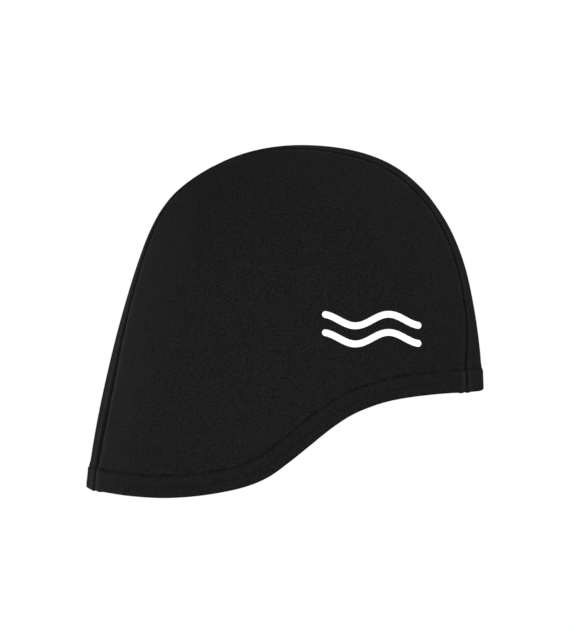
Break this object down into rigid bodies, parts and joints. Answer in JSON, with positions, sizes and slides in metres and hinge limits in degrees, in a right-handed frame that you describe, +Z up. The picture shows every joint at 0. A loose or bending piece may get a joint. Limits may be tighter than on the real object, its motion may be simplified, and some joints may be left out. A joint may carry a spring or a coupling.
{
  "type": "swim cap",
  "caption": "Close-fitting fabric swim cap, high over the forehead and deep at the nape, with side panels, a centre panel over the crown and a stitched, turned-up hem.",
  "frame": {"origin": "inside of the crown's top, in the middle plane, where the cap sits on the head", "axes": "+X towards the wearer's front, +Y towards the wearer's left, +Z up"},
  "size_m": [0.2222, 0.15, 0.1949],
  "materials": {
    "panel_cloth": "matte fine knit",
    "hem_cloth": "matte fine knit, turned up and elastic",
    "thread": "matte twisted thread",
    "print": "soft matte transfer print"
  },
  "bodies": {
    "root": {"side_panel_right": "panel_cloth", "side_panel_left": "panel_cloth", "centre_panel": "panel_cloth", "hem_band": "hem_cloth"}
  },
  "joints": []
}
